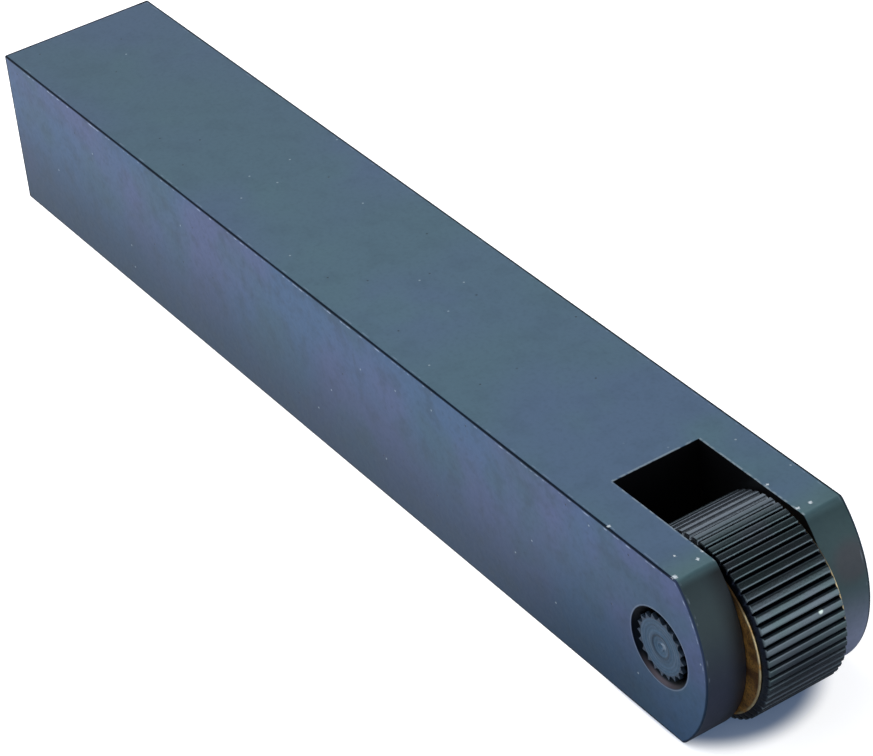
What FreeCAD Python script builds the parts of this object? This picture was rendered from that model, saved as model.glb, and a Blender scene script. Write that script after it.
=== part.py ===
"""Straight knurling tool for a lathe: a square shank, forked at one end, that carries one
straight-toothed knurl wheel on a serrated pin, with a thin brass washer at each side of it.

All sizes are in millimetres. The tool lies on its flat bottom face. +X points from the
shank's back end to the wheel, +Z is up, and the pin's serrated end is on the -Y side.
The origin is under the middle of the tool's length, on the bottom face.
"""
import FreeCAD, Part
import math
import os

# Shank, a milled square bar, as high as the wheel that it carries
shank_width = 20.0
back_to_axle = 127.0
edge_break = 0.2

# Fork nose, crowned about the axle's level
nose_reach = 7.2
shoulder_reach = 3.1
shoulder_round = 0.6
slot_behind_wheel = 2.7

# Knurl wheel
wheel_diameter = 20.0
wheel_width = 10.0
wheel_teeth = 60
tooth_depth = 0.40
tooth_land = 0.62
rim_bevel_width = 0.35
rim_bevel_drop = 0.85
bore_break = 0.3

# Thrust washers
washer_diameter = 18.3
washer_thickness = 0.2

# Axle pin: a plain shaft with a serrated head at its near end
shaft_diameter = 6.0
shaft_end_break = 0.4
head_tip_diameter = 7.2
head_root_diameter = 6.1
head_teeth = 20
head_length = 3.6
head_recess = 0.15
far_end_recess = 0.2
dish_diameter = 3.4
dish_depth = 0.12
centre_diameter = 0.9
centre_depth = 0.25

# Holes in the fork's ears
head_bore_diameter = 6.9
mouth_diameter = 8.7
mouth_depth = 1.1
far_mouth_depth = 0.3

# Clearances; the wheel's rim is flush with the shank's top and bottom where its inset is nought
rim_inset = 0.0
side_gap = 0.025
wheel_bore_gap = 0.03
washer_bore_gap = 0.05

# Sizes and places that follow from those above
shank_height = wheel_diameter + 2 * rim_inset
axle_height = shank_height / 2
slot_width = wheel_width + 2 * washer_thickness + 4 * side_gap
slot_back = wheel_diameter / 2 + slot_behind_wheel
front_reach = max(wheel_diameter / 2, nose_reach)
overall_length = back_to_axle + front_reach
back_x = -overall_length / 2
axle_x = back_x + back_to_axle
near_y = -shank_width / 2
far_y = shank_width / 2
head_end_y = near_y + head_recess
head_seat_y = head_end_y + head_length
shaft_end_y = far_y - far_end_recess

Y_AXIS = FreeCAD.Vector(0, 1, 0)


def point(x, y, z):
    return FreeCAD.Vector(x, y, z)


def on_axle(y):
    """The point of the axle's centre line at this place across the tool."""
    return point(axle_x, y, axle_height)


def turned(profile):
    """A solid turned about the axle from (radius, y) points."""
    corners = [point(axle_x + radius, y, axle_height) for radius, y in profile]
    outline = Part.makePolygon(corners + corners[:1])
    return Part.Face(outline).revolve(on_axle(0), Y_AXIS, 360)


def drilled(diameter, start_y, end_y):
    """A round hole's tool body along the axle."""
    return Part.makeCylinder(diameter / 2, end_y - start_y, on_axle(start_y), Y_AXIS)


def toothed_bar(teeth, tip_radius, root_radius, land, start_y, end_y):
    """A bar with straight V grooves along the axle and a flat land on each tooth."""
    pitch = 2 * math.pi / teeth
    half_land = land / 2 / tip_radius
    corners = []
    for tooth in range(teeth):
        middle = tooth * pitch
        if land > 0:
            stations = [(middle - half_land, tip_radius), (middle + half_land, tip_radius)]
        else:
            stations = [(middle, tip_radius)]
        stations.append((middle + pitch / 2, root_radius))
        for angle, radius in stations:
            x = axle_x + radius * math.cos(angle)
            z = axle_height + radius * math.sin(angle)
            corners.append(point(x, start_y, z))
    outline = Part.makePolygon(corners + corners[:1])
    return Part.Face(outline).extrude(Y_AXIS * (end_y - start_y))


def make_bar():
    """The square bar with its crowned nose, rounded where they meet, its edges broken."""
    shoulder_x = axle_x + shoulder_reach
    foot_back = point(back_x, near_y, 0)
    foot_front = point(shoulder_x, near_y, 0)
    crown = point(axle_x + nose_reach, near_y, axle_height)
    top_front = point(shoulder_x, near_y, shank_height)
    top_back = point(back_x, near_y, shank_height)
    outline = Part.Wire([
        Part.makeLine(foot_back, foot_front),
        Part.Arc(foot_front, crown, top_front).toShape(),
        Part.makeLine(top_front, top_back),
        Part.makeLine(top_back, foot_back),
    ])
    bar = Part.Face(outline).extrude(Y_AXIS * shank_width)
    shoulders = []
    for edge in bar.Edges:
        box = edge.BoundBox
        across_the_bar = box.YLength > edge_break
        at_the_shoulder = abs(box.XMin - shoulder_x) < edge_break
        if across_the_bar and at_the_shoulder:
            shoulders.append(edge)
    bar = bar.makeFillet(shoulder_round, shoulders)
    sharp = []
    for edge in bar.Edges:
        box = edge.BoundBox
        along_a_side = box.YLength < edge_break
        at_the_back = box.XMax < back_x + edge_break
        if along_a_side or at_the_back:
            sharp.append(edge)
    return bar.makeChamfer(edge_break, sharp)


def make_shank_holder():
    """The bar with the wheel's slot milled through from the top and the pin's holes."""
    slot = Part.makeBox(
        slot_back + front_reach + nose_reach, slot_width, 3 * shank_height,
        point(axle_x - slot_back, -slot_width / 2, -shank_height))
    holes = [
        drilled(shaft_diameter, near_y - 1, far_y + 1),
        drilled(head_bore_diameter, near_y - 1, head_seat_y),
        turned([
            (0, near_y), (mouth_diameter / 2, near_y),
            (head_bore_diameter / 2, near_y + mouth_depth), (0, near_y + mouth_depth)]),
        turned([
            (0, far_y), (shaft_diameter / 2 + far_mouth_depth, far_y),
            (shaft_diameter / 2, far_y - far_mouth_depth), (0, far_y - far_mouth_depth)]),
    ]
    return make_bar().cut([slot] + holes)


def make_knurl_wheel():
    """A hardened disc, grooved straight across its rim, bevelled at both faces and bored."""
    tip = wheel_diameter / 2
    half = wheel_width / 2
    face = tip - rim_bevel_drop
    blank = turned([
        (0, -half), (face, -half), (tip, -half + rim_bevel_width),
        (tip, half - rim_bevel_width), (face, half), (0, half)])
    ribs = toothed_bar(wheel_teeth, tip, tip - tooth_depth, tooth_land, -half, half)
    bore = shaft_diameter / 2 + wheel_bore_gap
    mouth = bore + bore_break
    hole = turned([
        (0, -half), (mouth, -half), (bore, -half + bore_break),
        (bore, half - bore_break), (mouth, half), (0, half)])
    return ribs.common(blank).cut(hole)


def make_washer(inner_y):
    """A thin washer that starts at this place across the tool."""
    disc = drilled(washer_diameter, inner_y, inner_y + washer_thickness)
    hole_diameter = shaft_diameter + 2 * washer_bore_gap
    return disc.cut(drilled(hole_diameter, inner_y - 1, inner_y + washer_thickness + 1))


def make_axle_pin():
    """The pin: a turned shaft, a serrated head and a dished end with a small centre."""
    shaft = shaft_diameter / 2
    body = turned([
        (0, head_end_y), (shaft, head_end_y), (shaft, shaft_end_y - shaft_end_break),
        (shaft - shaft_end_break, shaft_end_y), (0, shaft_end_y)])
    head = toothed_bar(
        head_teeth, head_tip_diameter / 2, head_root_diameter / 2, 0,
        head_end_y, head_seat_y)
    dish = turned([
        (0, head_end_y), (dish_diameter / 2, head_end_y), (0, head_end_y + dish_depth)])
    centre = turned([
        (0, head_end_y), (centre_diameter / 2, head_end_y), (0, head_end_y + centre_depth)])
    return body.fuse(head).cut([dish, centre]).removeSplitter()


washer_far_y = wheel_width / 2 + side_gap
parts = {
    "shank_holder": make_shank_holder(),
    "axle_pin": make_axle_pin(),
    "knurl_wheel": make_knurl_wheel(),
    "near_washer": make_washer(-washer_far_y - washer_thickness),
    "far_washer": make_washer(washer_far_y),
}

os.makedirs("parts", exist_ok=True)
for name, shape in parts.items():
    solid = shape.Solids[0]
    print(name, "valid", solid.isValid(), "solids", len(shape.Solids), "volume", round(solid.Volume, 2))
    solid.exportStep("parts/" + name + ".step")
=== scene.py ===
"""The looks of a straight knurling tool: a blued, forked shank with one knurl wheel on a pin."""
import math

import bmesh
import bpy
from mathutils import Matrix, Vector


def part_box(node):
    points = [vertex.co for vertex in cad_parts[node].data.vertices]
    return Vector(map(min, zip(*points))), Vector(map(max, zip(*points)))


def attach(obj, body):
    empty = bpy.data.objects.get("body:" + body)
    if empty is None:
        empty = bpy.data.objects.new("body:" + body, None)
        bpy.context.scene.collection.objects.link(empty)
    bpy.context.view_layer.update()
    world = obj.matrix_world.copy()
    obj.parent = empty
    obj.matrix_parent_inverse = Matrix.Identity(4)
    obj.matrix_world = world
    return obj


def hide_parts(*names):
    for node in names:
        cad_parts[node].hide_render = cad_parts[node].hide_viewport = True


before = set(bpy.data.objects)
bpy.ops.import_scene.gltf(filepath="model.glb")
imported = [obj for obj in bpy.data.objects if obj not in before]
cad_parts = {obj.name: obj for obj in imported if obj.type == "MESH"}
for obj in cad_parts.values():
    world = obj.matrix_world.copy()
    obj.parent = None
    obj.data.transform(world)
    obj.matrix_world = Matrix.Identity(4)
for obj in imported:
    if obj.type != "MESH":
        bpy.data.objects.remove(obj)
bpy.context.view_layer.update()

# SHANK HOLDER
# One bar of square tool steel, milled all over, with a slot milled through its crowned nose.
# The hole across the two ears is countersunk where the pin's serrated head was pressed in.
# It was blued in a hot salt bath, which left the faces mottled and the edges darker.
mm = 0.001
shank_low, shank_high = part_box("shank_holder")
wheel_low, wheel_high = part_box("knurl_wheel")
axle = (wheel_low + wheel_high) / 2
shank_width = shank_high.y - shank_low.y
shank_height = shank_high.z - shank_low.z
nose_reach = shank_high.x - axle.x
shoulder_reach = 3.1 * mm
shoulder_round = 0.6 * mm
close_by = 0.01 * mm
merge_gap = 0.001 * mm
slot_width = 10.5 * mm
slot_back = 12.7 * mm
edge_break = 0.2 * mm
slot_break = 0.07 * mm
head_bore = 3.45 * mm
shaft_bore = 3.0 * mm
mouth_radius = 4.35 * mm
mouth_depth = 1.1 * mm
head_seat = 3.75 * mm
far_mouth_depth = 0.3 * mm
crown_steps = 192
bore_steps = 96
flat_angle = math.radians(0.3)
half_shoulder_turn = math.radians(22.5)


def open_piece(piece):
    """Opens one piece for shaping, with nothing on it picked."""
    bpy.ops.object.select_all(action="DESELECT")
    bpy.context.view_layer.objects.active = piece
    piece.select_set(True)
    bpy.ops.object.mode_set(mode="EDIT")
    bpy.ops.mesh.select_all(action="DESELECT")


def pick(piece, kind, wanted):
    """Picks an open piece's corners, edges or faces by the place of their middle."""
    modes = {"verts": "VERT", "edges": "EDGE", "faces": "FACE"}
    bpy.ops.mesh.select_mode(type=modes[kind])
    bpy.ops.mesh.select_all(action="DESELECT")
    form = bmesh.from_edit_mesh(piece.data)
    for item in getattr(form, kind):
        corners = [item.co] if kind == "verts" else [corner.co for corner in item.verts]
        if wanted(sum(corners, Vector()) / len(corners)):
            item.select_set(True)
    form.select_flush_mode()
    bmesh.update_edit_mesh(piece.data)


def settle(name):
    """Names the piece that was just added, and puts its place in its mesh."""
    piece = bpy.context.object
    piece.name = name
    bpy.ops.object.transform_apply(location=True, rotation=True, scale=True)
    return piece


def grow(radius_from, radius_to):
    """Moves what is picked in or out from the axle."""
    share = radius_to / radius_from
    bpy.ops.transform.resize(value=(share, 1, share), center_override=axle)


def step_out(distance_y, radius_from, radius_to):
    """Draws the picked ring on along the axle, to a new radius."""
    bpy.ops.mesh.extrude_region_move(TRANSFORM_OT_translate={"value": (0, distance_y, 0)})
    grow(radius_from, radius_to)


def cut_away(piece, cutter):
    """Takes the cutter's form out of the piece."""
    bpy.ops.object.select_all(action="DESELECT")
    bpy.context.view_layer.objects.active = piece
    piece.select_set(True)
    cut = piece.modifiers.new("cut", "BOOLEAN")
    cut.object = cutter
    bpy.ops.object.modifier_apply(modifier=cut.name)
    bpy.data.objects.remove(cutter)


def crisp(piece, angle=30):
    """Shades the rounds smooth and the flats flat."""
    bpy.ops.object.select_all(action="DESELECT")
    bpy.context.view_layer.objects.active = piece
    piece.select_set(True)
    bpy.ops.object.shade_smooth_by_angle(angle=math.radians(angle))
    flats = piece.modifiers.new("flats", "WEIGHTED_NORMAL")
    flats.keep_sharp = True
    bpy.ops.object.modifier_apply(modifier=flats.name)


rise = shank_height / 2
slot_back_x = axle.x - slot_back
fall_back = nose_reach - shoulder_reach
crown_radius = (rise ** 2 + fall_back ** 2) / (2 * fall_back)
crown_x = shank_high.x - crown_radius
shoulder_x = axle.x + shoulder_reach
bpy.ops.object.select_all(action="DESELECT")
bpy.ops.mesh.primitive_cylinder_add(
    vertices=crown_steps, radius=crown_radius, depth=shank_width,
    location=(crown_x, 0, axle.z), rotation=(math.pi / 2, 0, 0))
shank = settle("blued_shank_holder")
open_piece(shank)
bpy.ops.mesh.select_all(action="SELECT")
bpy.ops.mesh.bisect(
    plane_co=(shoulder_x, 0, 0), plane_no=(1, 0, 0), threshold=merge_gap, use_fill=True,
    clear_inner=True)
pick(shank, "faces", lambda place: abs(place.x - shoulder_x) < close_by)
bpy.ops.mesh.extrude_region_move(
    TRANSFORM_OT_translate={"value": (shank_low.x - shoulder_x, 0, 0)})
bpy.ops.mesh.select_all(action="SELECT")
bpy.ops.mesh.remove_doubles(threshold=merge_gap)
bpy.ops.mesh.normals_make_consistent(inside=False)
bpy.ops.mesh.dissolve_limited(angle_limit=flat_angle)
pick(shank, "edges", lambda place: (
    abs(place.x - shoulder_x) < close_by and abs(place.y) < close_by))
bpy.ops.mesh.bevel(
    offset=shoulder_round * math.tan(half_shoulder_turn), segments=5, affect="EDGES")
pick(shank, "edges", lambda place: (
    abs(place.y) > shank_width / 2 - close_by or place.x < shank_low.x + close_by))
bpy.ops.mesh.bevel(offset=edge_break, segments=2, affect="EDGES")
bpy.ops.object.mode_set(mode="OBJECT")

bpy.ops.mesh.primitive_cube_add(
    size=1, location=(slot_back_x + 2 * slot_back, 0, axle.z),
    scale=(4 * slot_back, slot_width, 2 * shank_height))
cut_away(shank, settle("slot_cutter"))
near_face = shank_low.y
far_face = shank_high.y
mouth_slope = (mouth_radius - head_bore) / mouth_depth
drill_steps = [
    (near_face - mm, mouth_radius + mouth_slope * mm), (near_face + mouth_depth, head_bore),
    (near_face + head_seat, head_bore), (near_face + head_seat, shaft_bore),
    (far_face - far_mouth_depth, shaft_bore), (far_face + mm, shaft_bore + far_mouth_depth + mm)]
bpy.ops.object.select_all(action="DESELECT")
bpy.ops.mesh.primitive_circle_add(
    vertices=bore_steps, radius=drill_steps[0][1], fill_type="NGON",
    location=(axle.x, drill_steps[0][0], axle.z), rotation=(math.pi / 2, 0, 0))
drill = settle("stepped_drill")
open_piece(drill)
bpy.ops.mesh.select_all(action="SELECT")
for (start_y, start_radius), (end_y, end_radius) in zip(drill_steps, drill_steps[1:]):
    step_out(end_y - start_y, start_radius, end_radius)
bpy.ops.mesh.select_all(action="SELECT")
bpy.ops.mesh.normals_make_consistent(inside=False)
bpy.ops.object.mode_set(mode="OBJECT")
cut_away(shank, drill)

slot_side = slot_width / 2


def on_slot_rim(place):
    """Whether an edge lies on the slot's outline, at the top, the bottom or the nose."""
    if abs(place.x - slot_back_x) < close_by:
        return abs(abs(place.z - axle.z) - rise) < close_by and abs(place.y) < slot_side
    return abs(abs(place.y) - slot_side) < close_by and place.x > slot_back_x


open_piece(shank)
pick(shank, "edges", on_slot_rim)
bpy.ops.mesh.bevel(offset=slot_break, segments=2, affect="EDGES")
bpy.ops.object.mode_set(mode="OBJECT")

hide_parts("shank_holder")
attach(shank, "holder")
crisp(shank)


class Wire:
    """One socket of a network of nodes, used as a value in Python sums."""

    def __init__(self, network, socket):
        self.network = network
        self.socket = socket

    def sum(self, operation, first, second):
        return self.network.node("ShaderNodeMath", {"operation": operation}, {0: first, 1: second})

    def __add__(self, other):
        return self.sum("ADD", self, other)

    __radd__ = __add__

    def __mul__(self, other):
        return self.sum("MULTIPLY", self, other)

    __rmul__ = __mul__

    def __sub__(self, other):
        return self.sum("SUBTRACT", self, other)

    def __rsub__(self, other):
        return self.sum("SUBTRACT", other, self)

    def __pow__(self, other):
        return self.sum("POWER", self, other)

    def __abs__(self):
        return self.sum("ABSOLUTE", self, 0)

    def least(self, other):
        return self.sum("MINIMUM", self, other)

    def most(self, other):
        return self.sum("MAXIMUM", self, other)

    def wave(self):
        return self.sum("SINE", self, 0)

    def ramp(self, start, end):
        """Rises smoothly from 0 at start to 1 at end."""
        return self.network.node(
            "ShaderNodeMapRange", {"interpolation_type": "SMOOTHSTEP"},
            {"Value": self, "From Min": start, "From Max": end})


class Network:
    """The nodes of a material or of the world, each made by node()."""

    def __init__(self, tree):
        self.tree = tree

    def node(self, kind, settings=None, inputs=None, output=0):
        """Adds a node, sets it up, then sets or joins its sockets, and gives one of its outputs."""
        made = self.tree.nodes.new(kind)
        for name, value in (settings or {}).items():
            setattr(made, name, value)
        for name, value in (inputs or {}).items():
            self.put(made.inputs[name], value)
        return Wire(self, made.outputs[output])

    def put(self, socket, value):
        """Sets a socket to a number or a colour, or joins it to a wire."""
        if isinstance(value, Wire):
            self.tree.links.new(value.socket, socket)
        else:
            socket.default_value = value

    def mix(self, factor, first, second):
        """One colour laid over another."""
        return self.node(
            "ShaderNodeMix", {"data_type": "RGBA"}, {0: factor, 6: first, 7: second}, output=2)


class Finish(Network):
    """A piece's material, in millimetres of the tool's own frame."""

    def __init__(self, name):
        self.material = bpy.data.materials.new(name)
        self.material.use_nodes = True
        super().__init__(self.material.node_tree)
        self.shader = self.tree.nodes["Principled BSDF"]
        place = self.node("ShaderNodeTexCoord", output="Object")
        self.place = self.node(
            "ShaderNodeVectorMath", {"operation": "SCALE"}, {0: place, "Scale": 1 / mm})
        self.x = self.node("ShaderNodeSeparateXYZ", {}, {0: self.place}, output="X")
        self.y = self.node("ShaderNodeSeparateXYZ", {}, {0: self.place}, output="Y")
        self.z = self.node("ShaderNodeSeparateXYZ", {}, {0: self.place}, output="Z")

    def from_axle(self):
        """The distance from the axle's centre line."""
        ahead = self.x - axle.x / mm
        above = self.z - axle.z / mm
        return (ahead * ahead + above * above) ** 0.5

    def shifted(self, stretch, seed):
        """The place, stretched and moved, so that each pattern has a layout of its own."""
        return self.node(
            "ShaderNodeVectorMath", {"operation": "MULTIPLY_ADD"},
            {0: self.place, 1: stretch, 2: (31.7 * seed, 11.3 * seed, 5.9 * seed)})

    def noise(self, per_mm, seed, detail=2.0, stretch=(1, 1, 1)):
        """Cloudy noise from 0 to 1 with so many clouds to a millimetre."""
        return self.node(
            "ShaderNodeTexNoise", {},
            {"Vector": self.shifted(stretch, seed), "Scale": per_mm, "Detail": detail})

    def specks(self, per_mm, seed, size, share):
        """Round specks: cells of which only a share hold a dot, of a size in millimetres."""
        flat = self.node(
            "ShaderNodeCombineXYZ", {}, {"X": self.x + 7.3 * seed, "Y": self.y + self.z + seed})
        cells = {"Vector": flat, "Scale": per_mm}
        settings = {"voronoi_dimensions": "2D"}
        gap = self.node("ShaderNodeTexVoronoi", settings, cells, output="Distance")
        chance = self.node("ShaderNodeTexVoronoi", settings, cells, output="Color")
        chosen = self.node("ShaderNodeSeparateColor", {}, {0: chance})
        edge = size * per_mm
        return (1 - gap.ramp(edge * 0.6, edge)) * (1 - chosen.ramp(share, share + 0.01))

    def spot(self, x, y, z, size, ragged=0):
        """One rubbed spot at a place on the tool, with a smooth or ragged outline."""
        gap = self.node(
            "ShaderNodeVectorMath", {"operation": "DISTANCE"}, {0: self.place, 1: (x, y, z)},
            output="Value")
        return 1 - (gap + ragged).ramp(size * 0.4, size)

    def bump(self, height, depth):
        """Relief of a depth in millimetres."""
        return self.node("ShaderNodeBump", {}, {"Height": height, "Distance": depth * mm})

    def close(self, **inputs):
        """Joins what varies to the shader, sets what doesn't, and hands the material over."""
        for name, value in inputs.items():
            self.put(self.shader.inputs[name.replace("_", " ").title()], value)
        return self.material


def paint(red, green, blue):
    """A colour given as it looks on a screen, from 0 to 255."""
    parts = []
    for value in (red, green, blue):
        share = value / 255
        parts.append(share / 12.92 if share < 0.04045 else ((share + 0.055) / 1.055) ** 2.4)
    return (*parts, 1.0)


top_teal = paint(78, 106, 122)
top_blue = paint(80, 103, 130)
top_green = paint(80, 112, 122)
top_back = paint(48, 72, 88)
top_front = paint(82, 112, 110)
side_blue = paint(62, 94, 130)
side_violet = paint(76, 91, 131)
side_teal = paint(54, 88, 108)
side_low_shade = paint(12, 48, 74)
far_ear_high = paint(56, 78, 82)
far_ear_low_reflection = paint(146, 156, 186)
far_ear_brown = paint(74, 64, 72)
near_ear_high = paint(48, 63, 67)
near_ear_low = paint(50, 56, 74)
near_ear_painted_shade = paint(20, 20, 24)
blotch_dark = paint(34, 56, 70)
mottle_dark = paint(34, 48, 62)
grain_dark = paint(40, 54, 64)
edge_rubbed = paint(170, 184, 208)
edge_black = paint(6, 16, 28)
mouth_ring = paint(140, 150, 165)
mouth_painted_shade = paint(5, 6, 10)
mouth_flank_light = paint(80, 74, 80)
slot_painted_shade = paint(20, 16, 17)
slot_rim_worn = paint(150, 164, 172)
dot_pale = paint(164, 180, 188)
pit_dark = paint(22, 32, 40)
nick_white = paint(205, 214, 220)
brown_patch = (64.8, 8.4, 14.8, 3.0)
nicks = (
    (61.03, -9.65, 20, 0.34), (60.35, -6.38, 20, 0.22), (58.6, -7.75, 20, 0.18),
    (60.45, 5.53, 20, 0.25), (60.57, 6.96, 20, 0.25), (55.77, 5.61, 20, 0.2),
    (51.07, -9.68, 20, 0.2), (59.67, -5.3, 20, 0.18), (65.43, 6.94, 7.26, 0.2))

# The finish's own masks are in millimetres, as these places of the bar are.
half_bar = rise / mm
back_end = shank_low.x / mm
shoulder = shoulder_x / mm
slot_end = slot_back_x / mm
slot_edge = slot_side / mm


def face_colours(steel, side, drift):
    """Teal on the top and bottom, and violet-blue on the sides, with painted shade darkening them
    towards the foot, less so near the nose.
    """
    clouds = steel.noise(0.05, 1, 1.5)
    top = steel.mix(clouds.ramp(0.35, 0.65), top_teal, top_blue)
    top = steel.mix(drift.ramp(0.5, 0.72) * 0.5, top, top_green)
    top = steel.mix((1 - steel.x.ramp(-80, 20)) * 0.3, top, top_back)
    top = steel.mix(steel.x.ramp(shoulder - 4.5, shoulder) * 0.7, top, top_front)
    wall = steel.mix(clouds.ramp(0.4, 0.6), side_blue, side_violet)
    wall = steel.mix(drift.ramp(0.45, 0.65) * 0.7, wall, side_teal)
    # painted shade: the sides darken towards the foot, less so near the nose
    low = 1 - (steel.z + drift * 5).ramp(2.0, 20.0)
    low = low * (0.9 - steel.x.ramp(48, 64) * 0.4)
    wall = steel.mix(low, wall, side_low_shade)
    return steel.mix(side, top, wall)


def ear_colours(steel, across, drift):
    """The ears' rounded fronts: green-grey above and bluer below, the far ear's foot paler as a
    painted reflection of the white floor, and painted shade beside the slot on the near ear, where
    the wheel shades it.
    """
    high = (steel.z + drift * 3).ramp(9, 18)
    near_ear = steel.mix(high, near_ear_low, near_ear_high)
    # painted shade: the near ear's front darkens towards the slot, where the wheel shades it
    beside_slot = 1 - across.ramp(slot_edge, slot_edge + 2.6)
    near_ear = steel.mix(beside_slot * 0.8, near_ear, near_ear_painted_shade)
    # the far ear's foot is blued purple, made paler by a painted reflection of the white floor
    far_high = (steel.z + drift * 3).ramp(4.5, 14.5)
    far_ear = steel.mix(far_high, far_ear_low_reflection, far_ear_high)
    far_ear = steel.mix(steel.spot(*brown_patch) * 0.5, far_ear, far_ear_brown)
    return steel.mix(steel.y.ramp(-1, 1), near_ear, far_ear)


def broken_edges(steel, across, above, side, drift):
    """Where the bar's broken edges are black, and where a rubbed line runs beside them."""
    behind = back_end + half_bar + 0.22 - steel.x
    ahead = (steel.x - crown_x / mm).most(0)
    round_nose = (ahead * ahead + above * above) ** 0.5 - (crown_radius / mm - half_bar)
    edge = across.least(above).most(across.least(behind)).most(above.least(behind))
    edge = edge.most(across.least(round_nose)) + (drift - 0.5) * 0.1
    edge = edge + (steel.y.ramp(8, 9) + 1 - steel.z.ramp(0.3, 1.2)) * 0.1
    black = edge.ramp(half_bar - 0.23, half_bar - 0.15) * (1 - steel.x.ramp(60, 62) * 0.35)
    line = edge.ramp(half_bar - 0.46, half_bar - 0.38)
    line = line * (1 - edge.ramp(half_bar - 0.32, half_bar - 0.25))
    wear = steel.noise(0.9, 7, 4.0).ramp(0.5, 0.66) * (side * 0.6 + 0.2) * steel.z.ramp(8, 10)
    return black, line * wear


def pin_mouths(steel, across, side):
    """Where the pin's mouths are, painted black as shade, the pale ring round each, and the painted
    light on the flank that light reaches.
    """
    far_lip = (shaft_bore + far_mouth_depth) / mm
    lip = steel.y.ramp(-1, 1) * (far_lip - mouth_radius / mm) + mouth_radius / mm
    from_lip = steel.from_axle() - lip
    mouth = (1 - from_lip.ramp(-0.05, 0.03)) * across.ramp(slot_edge, slot_edge + 0.2)
    ring = from_lip.ramp(0, 0.06) * (1 - from_lip.ramp(0.1, 0.22)) * side
    flank = mouth * from_lip.ramp(-0.42, -0.2) * (1 - steel.z.ramp(6.0, 7.6))
    return mouth, ring, flank


def slot_walls(steel, across, above):
    """Where the slot's walls are, painted near black as shade, and the worn line along its rim at
    the top and the bottom.
    """
    in_slot = steel.x.ramp(slot_end - 0.05, slot_end)
    inside = in_slot * (1 - across.ramp(slot_edge, slot_edge + 0.05))
    beside_slot = across.ramp(slot_edge, slot_edge + 0.02)
    beside_slot = beside_slot * (1 - across.ramp(slot_edge + 0.14, slot_edge + 0.26))
    behind_slot = steel.x.ramp(slot_end - 0.3, slot_end - 0.16)
    behind_slot = behind_slot * (1 - steel.x.ramp(slot_end - 0.02, slot_end))
    behind_slot = behind_slot * (1 - across.ramp(slot_edge, slot_edge + 0.1))
    worn = (beside_slot * in_slot).most(behind_slot)
    return inside, worn * above.ramp(half_bar - 0.1, half_bar - 0.05)


def blued_steel():
    """Blueing over the whole bar, mottled and pitted, black on edges, with painted shade inside the
    holes and the slot.
    """
    steel = Finish("blued_steel")
    across = abs(steel.y)
    above = abs(steel.z - axle.z / mm)
    side = across.ramp(half_bar - 0.25, half_bar - 0.1)
    nose = steel.x.ramp(shoulder - 0.2, shoulder + 0.7) * (1 - side)
    drift = steel.noise(0.09, 4, 2.0)
    grain = steel.noise(2.2, 2, 3.0)
    mottles = steel.noise(1.3, 6, 4.0)
    blotches = steel.noise(0.35, 10, 3.0)
    body = steel.mix(nose, face_colours(steel, side, drift), ear_colours(steel, across, drift))
    body = steel.mix(blotches.ramp(0.45, 0.7) * (side * 0.2 + 0.1), body, blotch_dark)
    body = steel.mix(mottles.ramp(0.5, 0.75) * (side * 0.14 + 0.06), body, mottle_dark)
    body = steel.mix(grain.ramp(0.45, 0.8) * 0.12, body, grain_dark)

    dark, rubbed = broken_edges(steel, across, above, side, drift)
    body = steel.mix(rubbed * 0.9, body, edge_rubbed)
    body = steel.mix(dark * 0.95, body, edge_black)
    mouth, ring, flank = pin_mouths(steel, across, side)
    body = steel.mix(ring * 0.38, body, mouth_ring)
    # painted shade: the countersunk mouths are painted near black
    body = steel.mix(mouth * 0.97, body, mouth_painted_shade)
    # painted light on the lower flank of the mouth
    body = steel.mix(flank * 0.5, body, mouth_flank_light)
    inside, worn = slot_walls(steel, across, above)
    # painted shade: the slot's walls are painted near black
    body = steel.mix(inside * 0.97, body, slot_painted_shade)
    body = steel.mix(worn * mottles.ramp(0.4, 0.55) * 0.55, body, slot_rim_worn)

    along = steel.x.ramp(back_end + 0.3, back_end + 0.4) * (1 - nose.most(mouth))
    dots = steel.specks(0.3, 3, 0.14, 0.06) * along
    pits = steel.specks(0.3, 9, 0.14, 0.08) * along
    body = steel.mix(dots * 0.6, body, dot_pale)
    body = steel.mix(pits * 0.7, body, pit_dark)
    ragged = (steel.noise(6.0, 8, 2.0) - 0.5) * 0.6
    for x, y, z, size in nicks:
        body = steel.mix(steel.spot(x, y, z, size, ragged), body, nick_white)
    black = mouth.most(inside * 0.7).most(dark)
    relief = steel.noise(0.9, 5, 4.0) + grain * 0.4 - pits * 2
    steel.shader.inputs["Specular IOR Level"].default_value = 0.25
    return steel.close(
        base_color=body, metallic=black * 0.7 + 0.3,
        roughness=grain * 0.12 + 0.38 + dark * 0.15,
        normal=steel.bump(relief, 0.015))


shank.data.materials.append(blued_steel())

# KNURL WHEEL
# A hardened steel disc with straight ribs rolled across its rim, bevelled at both faces so
# that the ribs don't chip, and bored to turn on the pin. It was blackened after hardening.
rib_count = 54
steps_per_rib = 12
rib_turn = math.radians(1.4)
rib_drops = (0.0, 0.0, 0.0, 0.012 * mm, 0.07 * mm, 0.27 * mm, 0.4 * mm)
tip_radius = wheel_high.z - axle.z
rib_depth = rib_drops[-1]
bevel_width = 0.35 * mm
side_radius = 9.15 * mm
wheel_bore = 3.03 * mm
bore_break = 0.3 * mm
half_wheel = wheel_high.y
root_radius = tip_radius - rib_depth


def ring_corners(piece, place_y, count, steps, chosen):
    """Picks corners of a ring at one place across, by how many steps they are from a crest."""

    def wanted(place):
        if abs(place.y - place_y) > close_by:
            return False
        turn = math.atan2(place.z - axle.z, place.x - axle.x) / (2 * math.pi)
        step = round(turn * count * steps) % steps
        return min(step, steps - step) == chosen

    pick(piece, "verts", wanted)


def rib_radius(step):
    """How far out a rib's flat land and rounded flank are, at so many steps from its middle."""
    return tip_radius - rib_drops[step]


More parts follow.
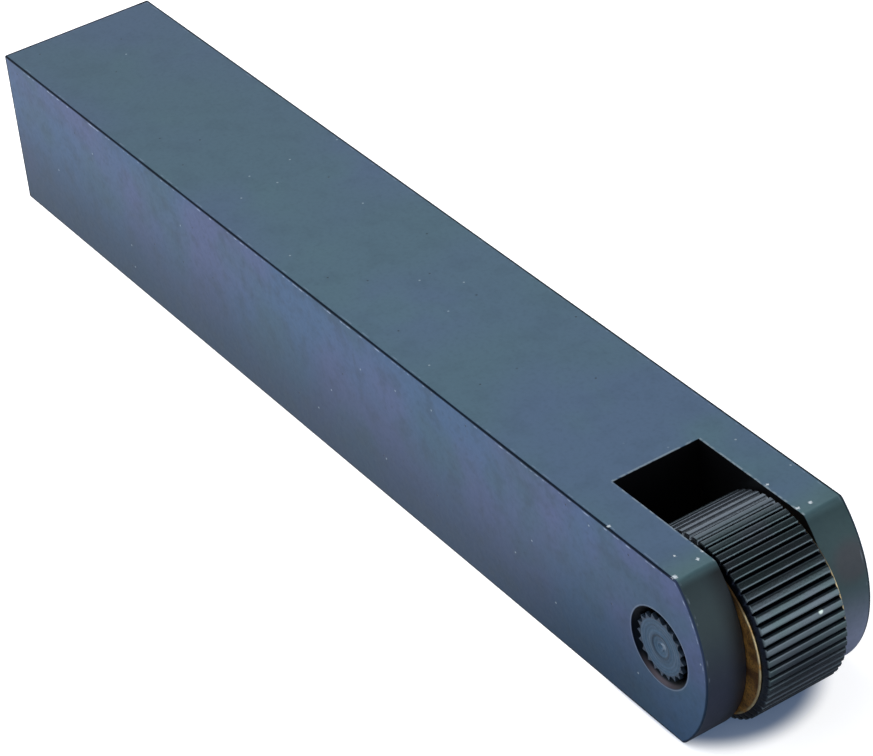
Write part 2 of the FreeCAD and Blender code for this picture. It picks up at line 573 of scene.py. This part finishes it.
bpy.ops.object.select_all(action="DESELECT")
bpy.ops.mesh.primitive_circle_add(
    vertices=rib_count * steps_per_rib, radius=tip_radius, fill_type="NOTHING",
    location=axle, rotation=(math.pi / 2, 0, 0))
wheel = settle("blackened_knurl_wheel")
open_piece(wheel)
for step in range(1, steps_per_rib // 2 + 1):
    ring_corners(wheel, 0, rib_count, steps_per_rib, step)
    grow(tip_radius, rib_radius(step))

rib_end = half_wheel - bevel_width
root_end = rib_end + bevel_width * rib_depth / (tip_radius - side_radius)
bpy.ops.mesh.select_all(action="SELECT")
step_out(rib_end, 1, 1)
bpy.ops.mesh.extrude_region_move(
    TRANSFORM_OT_translate={"value": (0, root_end - rib_end, 0)})
for step in range(steps_per_rib // 2):
    ring_corners(wheel, root_end, rib_count, steps_per_rib, step)
    grow(rib_radius(step), root_radius)
pick(wheel, "verts", lambda place: abs(place.y - root_end) < close_by)
bpy.ops.mesh.select_mode(type="EDGE")
step_out(half_wheel - root_end, root_radius, side_radius)
step_out(0, side_radius, wheel_bore + bore_break)
step_out(-bore_break, wheel_bore + bore_break, wheel_bore)
step_out(bore_break - half_wheel, 1, 1)
bpy.ops.object.mode_set(mode="OBJECT")
other_half = wheel.modifiers.new("other_half", "MIRROR")
other_half.use_axis = (False, True, False)
other_half.merge_threshold = 0.005 * mm
bpy.ops.object.modifier_apply(modifier=other_half.name)
open_piece(wheel)
bpy.ops.mesh.select_all(action="SELECT")
bpy.ops.mesh.remove_doubles(threshold=merge_gap)
bpy.ops.mesh.normals_make_consistent(inside=False)
bpy.ops.transform.rotate(value=rib_turn, orient_axis="Y", center_override=axle)
bpy.ops.object.mode_set(mode="OBJECT")
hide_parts("knurl_wheel")
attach(wheel, "wheel")
crisp(wheel, 40)

rib_grey = paint(90, 100, 108)
rib_green = paint(84, 100, 104)
rib_sheen = paint(124, 134, 146)
groove_black = paint(12, 16, 26)
groove_blue = paint(24, 30, 42)
groove_sheen = paint(170, 180, 190)
foot_shade_dark = paint(36, 42, 50)
chip_pale = paint(190, 205, 200)
foot_shade_reach = 9
chip = (67.74, 2.1, 13.83, 0.34)


def blackened_steel():
    """Blackening: nearly black in the grooves, and grey on the ribs' lands. A painted reflection
    pales the ribs and grooves at the top, where they face the bright sky, and painted shade darkens
    the wheel's foot."""
    steel = Finish("blackened_steel")
    crest = steel.from_axle().ramp(root_radius / mm + 0.12, tip_radius / mm - 0.06)
    clouds = steel.noise(0.25, 11, 2.0)
    grain = steel.noise(4.0, 12, 4.0)
    land = steel.mix(clouds.ramp(0.35, 0.65), rib_grey, rib_green)
    groove = steel.mix(grain, groove_black, groove_blue)
    ahead = steel.x - axle.x / mm
    high = (steel.z - axle.z / mm).ramp(7, 9)
    # painted reflection: the ribs and grooves at the wheel's top are paled where they face the
    # bright sky
    rubbed = (1 - ahead.ramp(-2.0, 0.8)) * high
    groove = steel.mix(rubbed * 0.9, groove, groove_sheen)
    land = steel.mix(rubbed * 0.7, land, rib_sheen)
    body = steel.mix(crest, groove, land)
    # painted shade at the wheel's foot, where it faces the shadowed floor
    foot_shade = steel.spot(axle.x / mm + 8.5, 0, axle.z / mm - 5.3, foot_shade_reach)
    body = steel.mix(foot_shade * 0.8, body, foot_shade_dark)
    dots = steel.specks(0.4, 13, 0.1, 0.05)
    body = steel.mix(dots.most(steel.spot(*chip)), body, chip_pale)
    return steel.close(
        base_color=body, metallic=0.95, roughness=grain * 0.1 + 0.2,
        normal=steel.bump(grain, 0.02))


wheel.data.materials.append(blackened_steel())

# BRASS WASHERS
# Two thin brass rings, punched from sheet, that keep the wheel off the ears. Both are oiled
# and tarnished brown, with a painted highlight along the rim where its rounded edge catches the
# light.
washer_bore = 3.05 * mm
washer_break = 0.05 * mm
washer_steps = 160
gold = paint(212, 160, 86)
brown_gold = paint(118, 84, 52)
oil_brown = paint(60, 46, 36)
rim_highlight = paint(204, 188, 146)
top_darkening = paint(40, 32, 28)


def brass():
    """Tarnished brass: brown-gold, clouded by oil, with a painted highlight on the rim and a nearly
    black top.
    """
    metal = Finish("tarnished_brass")
    clouds = metal.noise(0.5, 21, 4.0)
    grain = metal.noise(5.0, 22, 4.0)
    rim = metal.from_axle().ramp(8.85, 9.05) * clouds.ramp(0.35, 0.6)
    body = metal.mix(clouds.ramp(0.35, 0.65), gold, brown_gold)
    body = metal.mix(grain.ramp(0.4, 0.7) * 0.6, body, oil_brown)
    # painted highlight along the washer's rim
    body = metal.mix(rim, body, rim_highlight)
    # darker towards the top, nearly black there
    body = metal.mix(metal.z.ramp(15.2, 17.0) * 0.85, body, top_darkening)
    return metal.close(
        base_color=body, metallic=0.85, roughness=grain * 0.2 + 0.3,
        normal=metal.bump(grain, 0.02))


brass_finish = brass()
for washer_node, body in (
        ("near_washer", "near_thrust_washer"), ("far_washer", "far_thrust_washer")):
    washer_low, washer_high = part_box(washer_node)
    washer_radius = washer_high.z - axle.z
    thickness = washer_high.y - washer_low.y
    bpy.ops.object.select_all(action="DESELECT")
    bpy.ops.mesh.primitive_plane_add(
        size=1, location=(axle.x + (washer_bore + washer_radius) / 2,
                          (washer_low.y + washer_high.y) / 2, axle.z))
    bpy.ops.transform.resize(value=(washer_radius - washer_bore, thickness, 1))
    washer = settle("brass_" + washer_node)
    open_piece(washer)
    bpy.ops.mesh.select_all(action="SELECT")
    bpy.ops.mesh.bevel(offset=washer_break, segments=2, affect="VERTICES")
    bpy.ops.mesh.select_all(action="SELECT")
    bpy.ops.mesh.delete(type="ONLY_FACE")
    bpy.ops.mesh.select_all(action="SELECT")
    bpy.ops.mesh.spin(
        steps=washer_steps, angle=2 * math.pi, center=axle, axis=(0, 1, 0),
        use_auto_merge=True)
    bpy.ops.mesh.select_all(action="SELECT")
    bpy.ops.mesh.remove_doubles(threshold=merge_gap)
    bpy.ops.mesh.normals_make_consistent(inside=False)
    bpy.ops.object.mode_set(mode="OBJECT")
    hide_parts(washer_node)
    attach(washer, body)
    crisp(washer)
    washer.data.materials.append(brass_finish)

# AXLE PIN
# A turned steel pin with a serrated head, pressed in from the near side until the head meets
# its seat. The end face shows the turning rings and a small centre, a little below the shank.
head_teeth = 20
points_per_tooth = 4
head_radii = (3.6 * mm, 3.2 * mm, 3.05 * mm)
head_tip = head_radii[0]
head_length = 3.6 * mm
head_slope = 0.05 * mm
shaft_radius = 3.0 * mm
shaft_end_break = 0.4 * mm
end_rings = [
    (2.85, 0.0), (2.3, 0.0), (2.2, 0.03), (1.75, 0.03), (1.65, 0.0), (1.3, 0.0),
    (1.2, 0.06), (0.5, 0.1), (0.42, 0.04), (0.12, 0.2)]
pin_low, pin_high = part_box("axle_pin")
shaft_start = pin_low.y + head_length + head_slope

bpy.ops.object.select_all(action="DESELECT")
bpy.ops.mesh.primitive_circle_add(
    vertices=head_teeth * points_per_tooth, radius=head_tip, fill_type="NOTHING",
    location=(axle.x, pin_low.y, axle.z), rotation=(math.pi / 2, 0, 0))
pin = settle("blued_axle_pin")
open_piece(pin)
for step in range(1, len(head_radii)):
    ring_corners(pin, pin_low.y, head_teeth, points_per_tooth, step)
    grow(head_tip, head_radii[step])
bpy.ops.mesh.select_all(action="SELECT")
bpy.ops.mesh.select_mode(type="EDGE")
step_out(head_length, 1, 1)
bpy.ops.mesh.extrude_region_move(TRANSFORM_OT_translate={"value": (0, head_slope, 0)})
for step, radius in enumerate(head_radii):
    ring_corners(pin, shaft_start, head_teeth, points_per_tooth, step)
    grow(radius, shaft_radius)
pick(pin, "verts", lambda place: abs(place.y - shaft_start) < close_by)
bpy.ops.mesh.select_mode(type="EDGE")
step_out(pin_high.y - shaft_end_break - shaft_start, 1, 1)
step_out(shaft_end_break, shaft_radius, shaft_radius - shaft_end_break)
bpy.ops.mesh.edge_face_add()

pick(pin, "verts", lambda place: abs(place.y - pin_low.y) < close_by)
bpy.ops.mesh.select_mode(type="EDGE")
bpy.ops.mesh.extrude_region_move(TRANSFORM_OT_translate={"value": (0, 0, 0)})
ring_radius = end_rings[0][0] * mm
form = bmesh.from_edit_mesh(pin.data)
for corner in form.verts:
    if corner.select:
        out = Vector((corner.co.x - axle.x, 0, corner.co.z - axle.z))
        corner.co += out.normalized() * ring_radius - out
bmesh.update_edit_mesh(pin.data)
ring_depth = 0.0
for radius, depth in end_rings[1:]:
    step_out((depth - ring_depth) * mm, ring_radius, radius * mm)
    ring_radius = radius * mm
    ring_depth = depth
bpy.ops.mesh.edge_face_add()
bpy.ops.mesh.select_all(action="SELECT")
bpy.ops.mesh.remove_doubles(threshold=merge_gap)
bpy.ops.mesh.normals_make_consistent(inside=False)
bpy.ops.object.mode_set(mode="OBJECT")
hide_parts("axle_pin")
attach(pin, "holder")
crisp(pin)

turned_blue = paint(54, 84, 108)
turned_pale = paint(70, 94, 118)
ring_dark = paint(40, 54, 70)
dish_shade = paint(28, 40, 54)
centre_glint_pale = paint(150, 165, 180)
teeth_oxide_and_shade = paint(46, 46, 54)
hidden_dark = paint(14, 14, 18)
centre_glint = (58.9, -9.8, 10.3, 0.5)


def turned_steel():
    """The pin's ends: blued with the shank, with fine rings left by the turning tool, a painted
    highlight on the centre, and painted shade in the dish and partly among the teeth. Between them,
    where it is hidden, it is dark."""
    steel = Finish("blued_turned_steel")
    reach = steel.from_axle()
    grain = steel.noise(3.0, 31, 3.0)
    rings = (reach * 16 + grain * 3).wave()
    body = steel.mix(grain.ramp(0.3, 0.7), turned_blue, turned_pale)
    body = steel.mix((rings * 0.5 + 0.5) * 0.3, body, ring_dark)
    dish = reach.ramp(1.05, 1.2) * (1 - reach.ramp(1.35, 1.5))
    # painted shade in the shallow turned dish round the centre
    body = steel.mix(dish * 0.6, body, dish_shade)
    # painted highlight on the centre dimple
    body = steel.mix(steel.spot(*centre_glint) * 0.6, body, centre_glint_pale)
    # the ring of teeth is darker: partly dark oxide, partly painted shade in the gap to the bore
    body = steel.mix(reach.ramp(2.9, 3.1) * 0.55, body, teeth_oxide_and_shade)
    end = 1 - steel.y.ramp(pin_low.y / mm + 0.25, pin_low.y / mm + 0.6)
    end = end.most(steel.y.ramp(pin_high.y / mm - 0.6, pin_high.y / mm - 0.3))
    body = steel.mix(1 - end, body, hidden_dark)
    steel.shader.inputs["Specular IOR Level"].default_value = 0.25
    return steel.close(
        base_color=body, metallic=(1 - end) * 0.6 + 0.4, roughness=grain * 0.15 + 0.35,
        normal=steel.bump(rings * 0.3 + grain, 0.02))


pin.data.materials.append(turned_steel())

# FLOOR
# A white sheet that the tool lies on. Its glow keeps it evenly white, except in an ellipse under
# the nose
# where the glow is held back: a painted shadow with a bluish tint. Round the nose the paper is
# painted darker and gives no mirrored glow, as painted shade that the wheel reflects.
paper_white = paint(206, 207, 210)
paper_shaded = paint(160, 166, 176)
white_glow = (0.85, 0.85, 0.85, 1)
shadow_glow = (0.03, 0.06, 0.12, 1)
mirrored_glow = (0.5, 0.5, 0.5, 1)
no_glow = (0, 0, 0, 1)
unlit_patch = (70, 0, 0, 50)
shaded_patch = (68, 0, 0, 20)
shadow_middle = (55.6, -1.5)
shadow_radii = (8.8, 12.0)
shadow_near_end = (-10.5, -9.7)
bpy.ops.object.select_all(action="DESELECT")
bpy.ops.mesh.primitive_plane_add(size=4, location=(0, 0, 0))
floor = bpy.context.object
floor.name = "white_floor"
sheet = Finish("white_sheet")
seen = sheet.node("ShaderNodeLightPath", output="Is Camera Ray")
mirrored = sheet.node("ShaderNodeLightPath", output="Is Glossy Ray")
mirrored = mirrored.most(sheet.node("ShaderNodeLightPath", output="Is Transmission Ray"))
# painted shade for reflections: no mirrored glow round the nose
glow = sheet.mix(mirrored * (1 - sheet.spot(*unlit_patch)), no_glow, mirrored_glow)
glow = sheet.mix(seen, glow, shadow_glow)
# painted shadow: an ellipse under the nose where the white glow is held back and a bluish tint
# shows
shade_x = sheet.x - shadow_middle[0]
shade_y = sheet.y - shadow_middle[1]
shaded = 1 - ((shade_x * shade_x + shade_y * shade_y) ** 0.5).ramp(*shadow_radii)
shaded = shaded * sheet.y.ramp(*shadow_near_end)
glow = sheet.mix(seen * (1 - shaded), glow, white_glow)
# painted shade: the paper is painted darker round the nose
base = sheet.mix(sheet.spot(*shaded_patch), paper_white, paper_shaded)
floor.data.materials.append(sheet.close(
    base_color=base, roughness=0.9, emission_color=glow, emission_strength=1.0))

# LIGHT
# A pale studio with a soft window high over the near side of the back end, a dark ceiling,
# and a brighter wall at the front and the back. A weak lamp lights the near side as well.
window_direction = Vector((-0.45, -0.35, 0.82)).normalized()
ceiling_direction = Vector((0.1, 0.42, 0.9)).normalized()
front_direction = Vector((0.9, 0.42, 0.06)).normalized()
back_direction = Vector((-0.88, 0.42, 0.22)).normalized()
wall_spread = (32, 6)
window_spread = (42, 8)
ceiling_spread = (48, 20)
sky_level = 0.68
window_level = 2.2
front_level = 1.1
back_level = 0.2
ceiling_dimming = 0.9
world = bpy.data.worlds.new("studio")
world.use_nodes = True
bpy.context.scene.world = world
backdrop = world.node_tree.nodes["Background"]
backdrop.inputs["Color"].default_value = (0.95, 0.97, 1.0, 1.0)
sky = Network(world.node_tree)
sky_place = sky.node("ShaderNodeTexCoord", output="Generated")


def patch(direction, spread):
    """A soft round patch of the sky that way, from its edge to its core, both in degrees."""
    edge, core = spread
    nearness = sky.node(
        "ShaderNodeVectorMath", {"operation": "DOT_PRODUCT"}, {0: sky_place, 1: direction},
        output="Value")
    return nearness.ramp(math.cos(math.radians(edge)), math.cos(math.radians(core)))


window = patch(window_direction, window_spread)
ceiling = patch(ceiling_direction, ceiling_spread)
front = patch(front_direction, wall_spread)
behind = patch(back_direction, wall_spread)
dimmed_sky = sky_level * (1 - ceiling * ceiling_dimming)
walls = front * front_level + behind * back_level
sky.put(backdrop.inputs["Strength"], dimmed_sky + window * window_level + walls)

lamp_place = Vector((-0.22, -0.25, 0.10))
lamp_aim = Vector((-0.03, 0, 0.01))
light = bpy.data.lights.new("side_lamp", "AREA")
light.shape = "SQUARE"
light.size = 0.2
light.energy = 0.18
light.color = (0.95, 0.96, 1.0)
lamp = bpy.data.objects.new("side_lamp", light)
bpy.context.scene.collection.objects.link(lamp)
lamp.location = lamp_place
lamp.rotation_euler = (lamp_aim - lamp_place).to_track_quat("-Z", "Y").to_euler()

# CAMERA
# It looks from the wheel's end, over the near side, as the photograph does.
camera_azimuth = math.radians(58.592)
camera_elevation = math.radians(35.386)
camera_roll = math.radians(-5.609)
camera_distance = 368.095 * mm
camera_target = Vector((-7.624, 8.802, -3.455)) * mm
focal_pixels = 3246.6
frame_pixels = 873
lens = bpy.data.cameras.new("camera")
lens.sensor_width = 36
lens.lens = lens.sensor_width * focal_pixels / frame_pixels
lens.clip_start = 0.01
camera = bpy.data.objects.new("camera", lens)
bpy.context.scene.collection.objects.link(camera)
facing = (
    Matrix.Rotation(camera_azimuth, 4, "Z")
    @ Matrix.Rotation(math.pi / 2 - camera_elevation, 4, "X")
    @ Matrix.Rotation(camera_roll, 4, "Z"))
back = Vector((
    math.cos(camera_elevation) * math.sin(camera_azimuth),
    -math.cos(camera_elevation) * math.cos(camera_azimuth),
    math.sin(camera_elevation)))
camera.matrix_world = Matrix.Translation(camera_target + back * camera_distance) @ facing
bpy.context.scene.camera = camera

bpy.context.scene.view_settings.view_transform = "Standard"
